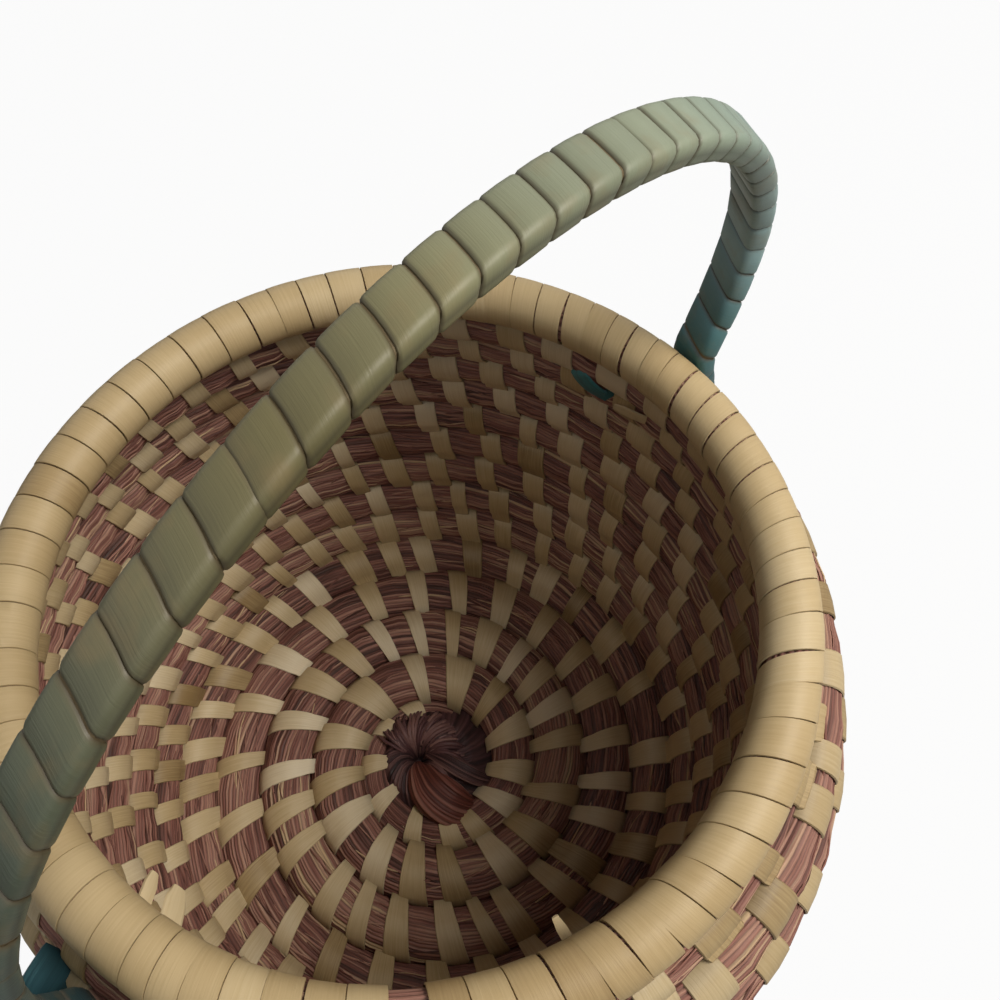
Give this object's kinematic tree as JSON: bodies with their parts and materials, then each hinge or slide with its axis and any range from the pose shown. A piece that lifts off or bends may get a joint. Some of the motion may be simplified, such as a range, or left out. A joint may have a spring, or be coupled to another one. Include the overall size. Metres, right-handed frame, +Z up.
{
  "type": "coiled basket with arch handle",
  "caption": "Round bellied basket of a coiled and sewn grass bundle, with a wrapped cord rim and a wrapped arch handle.",
  "frame": {"origin": "centre of the flat underside, under the starting knot", "axes": "+Z up through the bowl, +X to the near foot of the handle, +Y square to the handle's arch"},
  "size_m": [0.1957, 0.1952, 0.2381],
  "materials": {
    "grass": "dyed dried grass bundle, mauve to purple-brown, satin strands",
    "knot": "dark purple-brown turned-over grass",
    "rim_strip": "pale flat leaf strip, glossy",
    "sewing_strip": "pale straw leaf strip, glossy",
    "handle_rod": "split rod",
    "handle_strip": "dyed teal to sage leaf strip, satin",
    "tie_strip": "dyed teal leaf strip"
  },
  "bodies": {
    "root": {"grass_coil": "grass", "start_knot": "knot", "rim_core": "grass", "rim_wrap": "rim_strip", "handle_core": "handle_rod", "handle_wrap": "handle_strip", "near_foot_tie": "tie_strip", "far_foot_tie": "tie_strip", "stitch_ray_01": "sewing_strip", "stitch_ray_02": "sewing_strip", "stitch_ray_03": "sewing_strip", "stitch_ray_04": "sewing_strip", "stitch_ray_05": "sewing_strip", "stitch_ray_06": "sewing_strip", "stitch_ray_07": "sewing_strip", "stitch_ray_08": "sewing_strip", "stitch_ray_09": "sewing_strip", "stitch_ray_10": "sewing_strip", "stitch_ray_11": "sewing_strip", "stitch_ray_12": "sewing_strip"}
  },
  "joints": []
}
